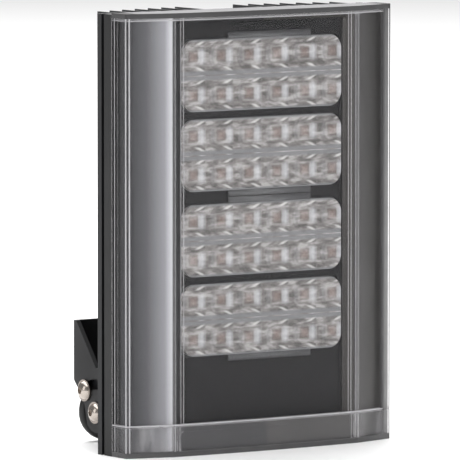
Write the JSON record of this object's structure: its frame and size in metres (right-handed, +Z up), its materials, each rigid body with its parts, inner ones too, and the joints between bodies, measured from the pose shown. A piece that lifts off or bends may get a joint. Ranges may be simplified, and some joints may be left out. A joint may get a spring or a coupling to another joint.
{
  "type": "infrared illuminator",
  "caption": "Upright finned infrared illuminator with a clear convex cover over lens arrays, on a folded tilt bracket for a wall.",
  "frame": {"origin": "middle of the object's width and depth, on the surface that it stands on", "axes": "+Z up, +Y towards the wall behind, -Y where the light goes, +X to the right seen from the front"},
  "size_m": [0.221, 0.1994, 0.28],
  "materials": {
    "clear_cover": "clear polycarbonate",
    "seal_rubber": "matt silicone",
    "black_case": "satin black",
    "black_anodised": "fine satin black",
    "stainless": "polished stainless",
    "satin_grey": "satin metallic grey",
    "black_panel": "satin black",
    "lens_film": "clear film with fine ribs",
    "lens_clear": "clear acrylic",
    "grey_board": "grey solder mask",
    "led_chip": "pinkish package",
    "thermal_pad": "soft grey pad",
    "circuit_board": "green board",
    "copper_coil": "enamelled copper",
    "capacitor_can": "sleeved can",
    "terminal_green": "moulded nylon",
    "black_powder": "fine black powder coat",
    "black_nylon": "moulded nylon",
    "cord_rubber": "smooth black jacket"
  },
  "bodies": {
    "head": {"front_cover": "clear_cover", "bottom_cover": "clear_cover", "cover_seal": "seal_rubber", "housing_frame": "black_case", "heat_sink": "black_anodised", "frame_screws": "stainless", "bezel": "satin_grey", "window_backing": "black_panel", "lens_sheet": "lens_film", "lens_array_1": "lens_clear", "lens_array_2": "lens_clear", "lens_array_3": "lens_clear", "lens_array_4": "lens_clear", "led_board_upper": "grey_board", "led_board_lower": "grey_board", "led_chips_upper": "led_chip", "led_chips_lower": "led_chip", "thermal_pads": "thermal_pad", "board_screws": "stainless", "driver_board": "circuit_board", "driver_standoffs": "stainless", "driver_screws": "stainless", "driver_inductor": "copper_coil", "driver_capacitors": "capacitor_can", "terminal_block": "terminal_green", "tilt_lug_right": "black_anodised", "tilt_lug_left": "black_anodised", "lug_screws": "stainless", "pivot_screws": "stainless", "pivot_washers": "stainless", "lock_screws": "stainless", "lock_washers": "stainless", "gland_body": "black_nylon", "gland_seal": "seal_rubber", "gland_locknut": "black_nylon", "gland_nut": "black_nylon", "cord": "cord_rubber", "cord_coil": "cord_rubber"},
    "bracket": {"wall_bracket": "black_powder"}
  },
  "joints": [
    {"name": "bracket_tilt", "type": "hinge", "parent": "head", "child": "bracket", "pos_m": [0, 0.02575, 0.0218], "axis": [-1, 0, 0], "range_deg": [0, 45]}
  ]
}
